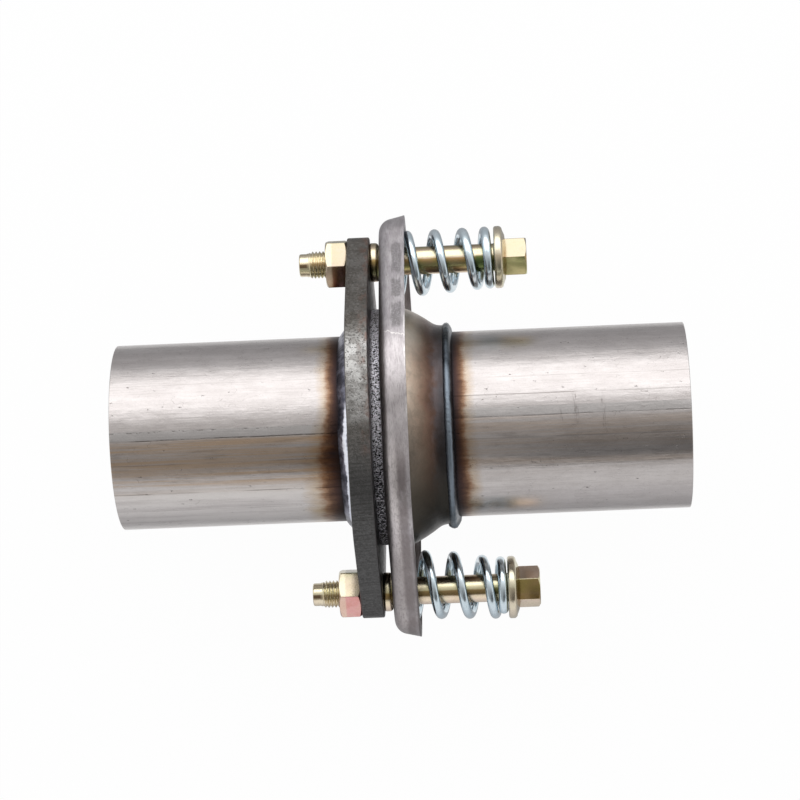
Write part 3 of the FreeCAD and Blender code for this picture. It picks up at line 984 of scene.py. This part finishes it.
# %% [markdown]
# ## Zinc plate
#
# The bolts and nuts are zinc plated and yellow chromated. The film is so thin that it shows colours, cream
# and gold with a little pink and green, and it is darker where it pooled. Their colour also follows the way
# each face looks, to the near or the far side, which paints in light and shade, with painted highlights and
# reflections on the heads and points. The springs have the clear blue kind, over wire with fine lines along
# its length.

# %% Set the sizes of the bolts and nuts
thread_radius, thread_pitch, thread_depth = 4.9, 1.25, 0.66
thread_end_x, rings_per_pitch = -14, 12
point_radius, point_length = 4.1, 3
collar_radius, collar_height = 7, 3.2
shank_radius = 5
ring_radius, ring_under_x, ring_top_x = 11.2, 44.6, 47.7
head_across_flats, head_start_x = 13, 48.5
head_corner = {"a": 93.7, "b": 124.5}
nut_corner = {"a": 97.9, "b": 93.6}
nut_across_flats, nut_bore = 16, 4.95
bolt_steps, hexagon_steps = 72, 120
print("head", head_across_flats, "mm and nut", nut_across_flats, "mm across flats")

# %% Make the finish of the bolts and nuts
pooled_films = [
    (0.34, (0.52, 0.56, 0.26)),
    (0.46, (0.66, 0.58, 0.34)),
    (0.54, (0.74, 0.58, 0.44)),
    (0.66, (0.5, 0.36, 0.16)),
]


def yellow_zinc_finish(name, films_and_shading, greening):
    """The colour stops, given as (place, colour), run from faces that look to the near side, at 0, to the far
    side, at 1:
    the film's colours with painted light and shade. greening is how green the near side of the shank is at
    the head."""
    finish = new_metal(name)
    x = finish.parts(finish.place)[0]
    _, facing_y, facing_z = finish.parts(finish.node("TexCoord", output="Normal"))
    cloud = finish.noise(0.14, 0.2, 3, 0.55)
    fine = finish.noise(1.8, 1.8, 3, 0.6)
    # Painted light and shade: the colour follows the way the face looks, to the near or the far side, over
    # the film's own colours.
    base = finish.ramp(facing_y * 0.5 + 0.5 + (cloud - 0.5) * 0.12, films_and_shading)
    base = finish.blend(0.18, base, finish.ramp(cloud, pooled_films))
    thread = x.rise(thread_end_x + 1, thread_end_x)
    ring = x.stripe(ring_top_x - 1.4, 1.6, 0.3)
    crown = x.rise(head_start_x - 0.2, head_start_x + 0.1)
    green = x.stripe(ring_under_x - 3.6, 2.6, 1.6) * facing_y.rise(0.25, 0)
    stain = fine.rise(0.56, 0.75)
    # Painted reflection: a dark spot on the dog point, on the faces that look up towards the camera.
    tip_reflection = x.rise(-22, -23) * facing_y.stripe(-0.12, 0.1, 0.1) * facing_z.rise(0.5, 0.8)
    base = base.under(
        (thread * 0.45, (0.74, 0.68, 0.52)),
        (ring * 0.6, (0.6, 0.56, 0.46)),
        # Painted highlight on head faces that look to the far side, and a painted reflection, darker, on
        # faces tilted a little less that way.
        (crown * facing_y.rise(0.66, 0.76) * 0.7, (0.84, 0.67, 0.54)),
        (crown * facing_y.stripe(0.44, 0.1, 0.1) * 0.5, (0.3, 0.26, 0.2)),
        (green * greening, (0.09, 0.16, 0.05)),
        (stain * 0.3, (0.3, 0.22, 0.1)),
        (tip_reflection * 0.8, (0.1, 0.045, 0.02)),
    )
    roughness = 0.18 + fine * 0.12
    return finish.metal(base, roughness, (fine, 0.012))


# %% Choose the film colours and painted shading of each bolt and nut
films_and_shading = {
    "bolt_a": [
        (0.06, (0.62, 0.5, 0.36)),
        (0.22, (0.44, 0.45, 0.19)),
        (0.34, (0.26, 0.23, 0.09)),
        (0.44, (0.3, 0.19, 0.055)),
        (0.52, (0.42, 0.25, 0.09)),
        (0.56, (0.66, 0.56, 0.42)),
        (0.78, (0.66, 0.61, 0.42)),
        (0.86, (0.44, 0.36, 0.27)),
        (0.95, (0.2, 0.16, 0.09)),
    ],
    "bolt_b": [
        (0.05, (0.84, 0.7, 0.58)),
        (0.3, (0.74, 0.62, 0.47)),
        (0.34, (0.27, 0.17, 0.05)),
        (0.49, (0.29, 0.19, 0.05)),
        (0.53, (0.6, 0.56, 0.34)),
        (0.76, (0.64, 0.6, 0.44)),
        (0.85, (0.44, 0.35, 0.25)),
        (0.96, (0.2, 0.15, 0.1)),
    ],
    "nut_a": [
        (0.1, (0.12, 0.032, 0.026)),
        (0.3, (0.08, 0.016, 0.012)),
        (0.6, (0.43, 0.345, 0.29)),
        (0.9, (0.4, 0.38, 0.24)),
    ],
    "nut_b": [
        (0.1, (0.6, 0.38, 0.38)),
        (0.3, (0.7, 0.28, 0.3)),
        (0.65, (0.5, 0.43, 0.33)),
        (0.95, (0.1, 0.1, 0.075)),
    ],
}
greenings = {"bolt_a": 0.85, "bolt_b": 0.55, "nut_a": 0, "nut_b": 0}
zinc_of = {name: yellow_zinc_finish("yellow_zinc_" + name, films_and_shading[name], greenings[name]) for name in films_and_shading}

# %% Make the finish of the springs
def blue_zinc_finish():
    finish = new_metal("blue_zinc_wire")
    cloud = finish.noise(0.3, 0.3, 3, 0.6)
    fine = finish.noise(2.4, 0.9, 3, 0.6)
    base = finish.blend(cloud, (0.42, 0.53, 0.59), (0.72, 0.79, 0.83))
    base = base.under((fine.rise(0.55, 0.75) * 0.35, (0.35, 0.37, 0.4)))
    roughness = 0.12 + fine * 0.14
    return finish.metal(base, roughness, (fine, 0.01))


spring_zinc = blue_zinc_finish()

# %% [markdown]
# ## Bolts
#
# A shoulder bolt is turned from bar: a dog point, a thread, a collar that stops against the plate, a long
# plain shank and a ring under the head. The thread is cut last, as on the lathe: points there move towards
# the axis by how far along and how far round they are. The hexagon is milled from a turned blank with six
# flat cuts, which leaves the true curved edges of its chamfer.

# %% Turn a bolt
def bolt_outline(tip_x):
    thread_start = tip_x + point_length
    ring_step = thread_pitch / rings_per_pitch
    thread_rings = int((thread_end_x - thread_start) / ring_step)
    return [
        (tip_x, 0),
        *rounded(tip_x, point_radius, 0.6, (-1, 1)),
        (thread_start - 0.4, point_radius),
        (thread_start, point_radius + 0.15),
        *[(thread_start + 0.35 + ring_step * k, thread_radius) for k in range(thread_rings)],
        (-0.4, thread_radius),
        (0, collar_radius - 0.5),
        *rounded(0, collar_radius, 0.7, (-1, 1)),
        *reversed(rounded(collar_height, collar_radius, 1.2, (1, 1))),
        (collar_height, shank_radius + 0.1),
        (collar_height + 0.1, shank_radius),
        (ring_under_x - 0.3, shank_radius),
        (ring_under_x, shank_radius + 0.3),
        *rounded(ring_under_x, ring_radius, 0.9, (-1, 1), 6),
        *reversed(rounded(ring_top_x, ring_radius, 1.3, (1, 1), 6)),
        (head_start_x, head_across_flats / math.sqrt(3) + 0.4),
        (head_start_x + 0.2, 6),
        (head_start_x + 0.2, 0),
    ]


def cut_thread(bm, start_x, end_x):
    """Moves the points of the threaded length in, along a right-handed helix."""
    half_crest, flank = 0.12, 0.74
    for vert in bm.verts:
        radius = math.hypot(vert.co.y, vert.co.z)
        if not start_x < vert.co.x < end_x or radius < point_radius + 0.3:
            continue
        turn = math.atan2(vert.co.z, vert.co.y) / (2 * math.pi)
        phase = (vert.co.x / thread_pitch - turn) % 1
        valley = min(1, max(0, (abs(2 * phase - 1) - half_crest) / flank))
        fade = min(1, (vert.co.x - start_x) / thread_pitch)
        put(vert, vert.co.x, (radius - thread_depth * (1 - fade * (1 - valley))) / radius)

# %% Mill the hexagons
def mill_hexagon(bm, across_flats, corner_degrees):
    """Cuts six flats on a turned blank whose axis is the X axis."""
    for k in range(6):
        angle = math.radians(corner_degrees + 30 + 60 * k)
        normal = Vector((0, math.cos(angle), math.sin(angle)))
        geometry = list(bm.verts) + list(bm.edges) + list(bm.faces)
        spot = normal * across_flats / 2
        cut = bmesh.ops.bisect_plane(bm, geom=geometry, plane_co=spot, plane_no=normal, clear_outer=True)
        rim = [item for item in cut["geom_cut"] if isinstance(item, bmesh.types.BMEdge)]
        bmesh.ops.edgenet_fill(bm, edges=rim)
    bmesh.ops.recalc_face_normals(bm, faces=bm.faces)


def hexagon_blank(start_x, end_x, across_flats, bore, chamfer_both):
    """The outline of a hexagon's turned blank, with 30 degree chamfers that just miss the flats."""
    corner = across_flats / math.sqrt(3) + 0.02
    face = across_flats / 2 - 0.25
    drop = (corner - face) * math.tan(math.radians(30))
    outline = [(start_x, bore + 0.5), (start_x, face), (start_x + drop, corner)]
    if not chamfer_both:
        outline = [(start_x, bore), (start_x, corner)]
    outline += [(end_x - drop, corner), (end_x, face)]
    if bore:
        outline += [(end_x, bore + 0.5), (end_x - 0.5, bore), (start_x + 0.5, bore)]
    else:
        outline += [(end_x, 0)]
    return outline

# %% Make the bolts and nuts
def add_to(bm, other):
    """Puts another bmesh's geometry in this one."""
    mesh = mesh_of(other, "joined")
    bm.from_mesh(mesh)
    bpy.data.meshes.remove(mesh)


def make_bolt(name):
    """One shoulder bolt with its head, at its own place beside the pipe."""
    tip_x, top_x = bolt_low.x, bolt_high.x
    body = turned(bolt_outline(tip_x), bolt_steps, closed=False)
    cut_thread(body, tip_x + point_length + 0.3, thread_end_x - 0.5)
    blank = hexagon_blank(head_start_x, top_x, head_across_flats, bore=0, chamfer_both=False)
    head = turned(blank, hexagon_steps, closed=False)
    bmesh.ops.holes_fill(head, edges=head.edges)
    mill_hexagon(head, head_across_flats, head_corner[name])
    soften_edges(head, 0.14)
    add_to(body, head)
    bmesh.ops.translate(body, verts=body.verts, vec=(0, side_of[name] * bolt_y, 0))
    return object_from(body, "shoulder_bolt_" + name, sharp_degrees=35)


def make_nut(name):
    low, high = box_mm("nut_" + name)
    nut = turned(hexagon_blank(low.x, high.x, nut_across_flats, nut_bore, chamfer_both=True), hexagon_steps)
    mill_hexagon(nut, nut_across_flats, nut_corner[name])
    soften_edges(nut, 0.16)
    bmesh.ops.translate(nut, verts=nut.verts, vec=(0, side_of[name] * bolt_y, 0))
    return object_from(nut, "lock_nut_" + name, sharp_degrees=35)


for name in side_of:
    stand_for(make_bolt(name), "spring_bolt_" + name, zinc_of["bolt_" + name])
    stand_for(make_nut(name), "nut_" + name, zinc_of["nut_" + name])

# %% [markdown]
# ## Springs
#
# A coil spring is one wire on a helix. Its path is worked out turn by turn: the ends lie flat, the turns
# between climb evenly, and the coil is a little wider at its foot. A curve with a round bevel follows the
# path and is made a mesh. The bolt's ring holds one end of the spring and the pan the other.

# %% Coil the springs
wire_radius = 1.7
foot_mean_radius, head_mean_radius, foot_shift = 10.5, 9.5, 1.3
belly_width = {"a": 0, "b": 0.6}
belly_lean = {"a": 0, "b": 1.1}
belly_peak = 4 / 27
rise_start_turn = {"a": 0.45, "b": 0.25}
rise_end_turn = {"a": 3.95, "b": 3.7}
flat_turns = {"a": 0.6, "b": 0.7}
ramp_turns = 1.4
points_per_turn = 48


def soft_ramp(turns):
    """Rises from 0 to the straight line through the origin, as a parabola over ramp_turns round it."""
    if abs(turns) < ramp_turns / 2:
        return (turns + ramp_turns / 2) ** 2 / (2 * ramp_turns)
    return max(0, turns)


def spring_path(name):
    """The middle of the wire in millimetres, from the foot in the pan to the head."""
    low, high = box_mm("spring_" + name)
    foot_x, rise = low.x + wire_radius, high.x - low.x - 2 * wire_radius
    start, end = rise_start_turn[name], rise_end_turn[name]
    foot_turn, head_turn = start - flat_turns[name], end + flat_turns[name]
    count = round((head_turn - foot_turn) * points_per_turn)
    path = []
    for k in range(count + 1):
        turns = foot_turn + (head_turn - foot_turn) * k / count
        share = (soft_ramp(turns - start) - soft_ramp(turns - end)) / (end - start)
        belly = share * (1 - share) ** 2 / belly_peak
        radius = foot_mean_radius + (head_mean_radius - foot_mean_radius) * share + belly_width[name] * belly
        centre_y = side_of[name] * (bolt_y - foot_shift * (1 - share) - belly_lean[name] * belly)
        angle = 2 * math.pi * turns
        path.append((foot_x + rise * share, centre_y + radius * math.cos(angle), radius * math.sin(angle)))
    return path


def coil_spring(name):
    path = spring_path(name)
    curve = bpy.data.curves.new("wire", "CURVE")
    curve.dimensions = "3D"
    curve.bevel_depth = wire_radius
    curve.bevel_resolution = 8
    curve.use_fill_caps = True
    spline = curve.splines.new("POLY")
    spline.points.add(len(path) - 1)
    for point, spot in zip(spline.points, path):
        point.co = (*spot, 1)
    holder = bpy.data.objects.new("wire", curve)
    mesh = bpy.data.meshes.new_from_object(holder)
    bpy.data.objects.remove(holder)
    bm = bmesh.new()
    bm.from_mesh(mesh)
    bpy.data.meshes.remove(mesh)
    bmesh.ops.remove_doubles(bm, verts=bm.verts, dist=merge_mm)
    bmesh.ops.recalc_face_normals(bm, faces=bm.faces)
    soften_edges(bm, 0.3, sharper_than=60)
    return object_from(bm, "coil_" + name, sharp_degrees=50)


for name in side_of:
    node = "spring_" + name
    coil = coil_spring(name)
    coil.data.materials.append(spring_zinc)
    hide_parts(node)
    low, high = box_mm(node)
    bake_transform(coil)
    print(coil.name, "has", len(coil.data.polygons), "faces")
